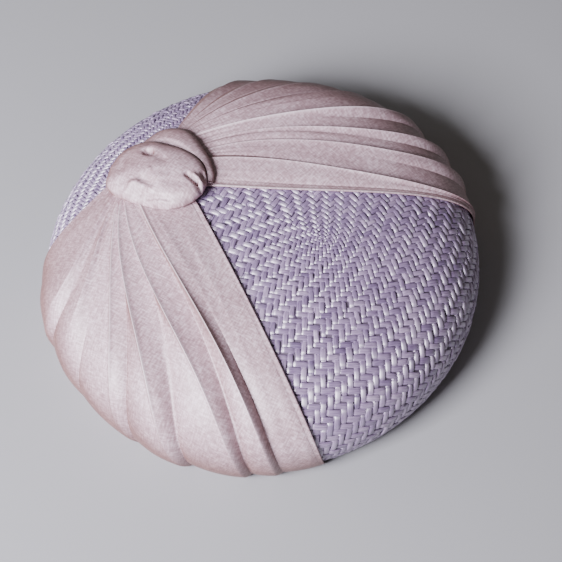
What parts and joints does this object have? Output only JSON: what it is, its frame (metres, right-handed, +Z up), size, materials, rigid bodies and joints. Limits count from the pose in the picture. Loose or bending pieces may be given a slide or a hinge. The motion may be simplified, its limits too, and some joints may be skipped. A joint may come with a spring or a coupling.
{
  "type": "button hat",
  "caption": "Shallow domed button hat of woven lilac straw with two pleated silk fans gathered into a silk knot at the back of the crown.",
  "frame": {"origin": "on the surface that the hat rests on, under the middle of its crown", "axes": "+Z up through the crown, -Y towards the wearer's front, +Y towards the knot at the back, +X towards the wearer's left"},
  "size_m": [0.189, 0.185, 0.0606],
  "materials": {
    "straw": "dyed lilac straw in a two-over-two-under twill weave, satin",
    "silk": "pale pink-lilac silk dupion with slubs, soft sheen"
  },
  "bodies": {
    "root": {"straw_crown": "straw", "silk_fan_right": "silk", "silk_fan_left": "silk", "silk_knot": "silk", "knot_wrap": "silk"}
  },
  "joints": []
}
